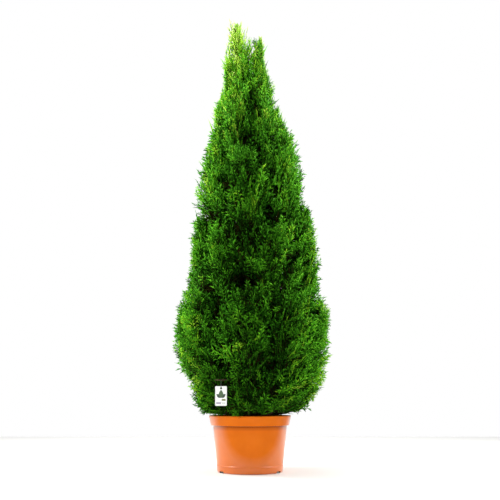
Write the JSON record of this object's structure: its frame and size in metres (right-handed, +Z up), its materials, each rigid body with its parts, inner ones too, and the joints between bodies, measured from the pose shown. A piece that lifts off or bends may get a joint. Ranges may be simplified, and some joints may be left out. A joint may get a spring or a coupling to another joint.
{
  "type": "potted thuja",
  "caption": "young pyramidal thuja with two leaders, tiers of upright foliage plumes and a hanging label, in a terracotta-coloured nursery pot",
  "frame": {"origin": "on the pot's axis, on the level ground it stands on: the middle of the flat hub under the pot", "axes": "+Z up along the trunk, -Y the front of the plant, where the label hangs, +X to the right as seen from the front"},
  "size_m": [0.6044, 0.603, 1.7615],
  "materials": {
    "pot_plastic": "satin injection-moulded plastic, terracotta orange",
    "compost": "dark, moist, crumbly potting compost",
    "bark": "stringy red-brown bark",
    "foliage": "flat scale-leaved sprays, bright green with yellow-green tips",
    "label_card": "white printed plant label",
    "label_tie": "dark green tie"
  },
  "bodies": {
    "root": {"compost": "compost", "label_card": "label_card", "label_tie": "label_tie", "leader_foliage": "foliage", "lower_bough_1": "bark", "lower_bough_2": "bark", "lower_bough_3": "bark", "lower_bough_4": "bark", "lower_bough_5": "bark", "lower_bough_6": "bark", "lower_bough_7": "bark", "lower_foliage_1": "foliage", "lower_foliage_2": "foliage", "lower_foliage_3": "foliage", "lower_foliage_4": "foliage", "lower_foliage_5": "foliage", "lower_foliage_6": "foliage", "lower_foliage_7": "foliage", "middle_bough_1": "bark", "middle_bough_2": "bark", "middle_bough_3": "bark", "middle_bough_4": "bark", "middle_bough_5": "bark", "middle_bough_6": "bark", "middle_foliage_1": "foliage", "middle_foliage_2": "foliage", "middle_foliage_3": "foliage", "middle_foliage_4": "foliage", "middle_foliage_5": "foliage", "middle_foliage_6": "foliage", "pot": "pot_plastic", "shoulder_foliage_1": "foliage", "shoulder_foliage_2": "foliage", "shoulder_foliage_3": "foliage", "side_leader": "bark", "side_leader_foliage": "foliage", "skirt_bough_1": "bark", "skirt_bough_2": "bark", "skirt_bough_3": "bark", "skirt_bough_4": "bark", "skirt_bough_5": "bark", "skirt_bough_6": "bark", "skirt_bough_7": "bark", "skirt_bough_8": "bark", "skirt_foliage_1": "foliage", "skirt_foliage_2": "foliage", "skirt_foliage_3": "foliage", "skirt_foliage_4": "foliage", "skirt_foliage_5": "foliage", "skirt_foliage_6": "foliage", "skirt_foliage_7": "foliage", "skirt_foliage_8": "foliage", "trunk": "bark", "upper_foliage_1": "foliage", "upper_foliage_2": "foliage", "upper_foliage_3": "foliage", "upper_foliage_4": "foliage", "upper_foliage_5": "foliage", "upper_foliage_6": "foliage"}
  },
  "joints": []
}
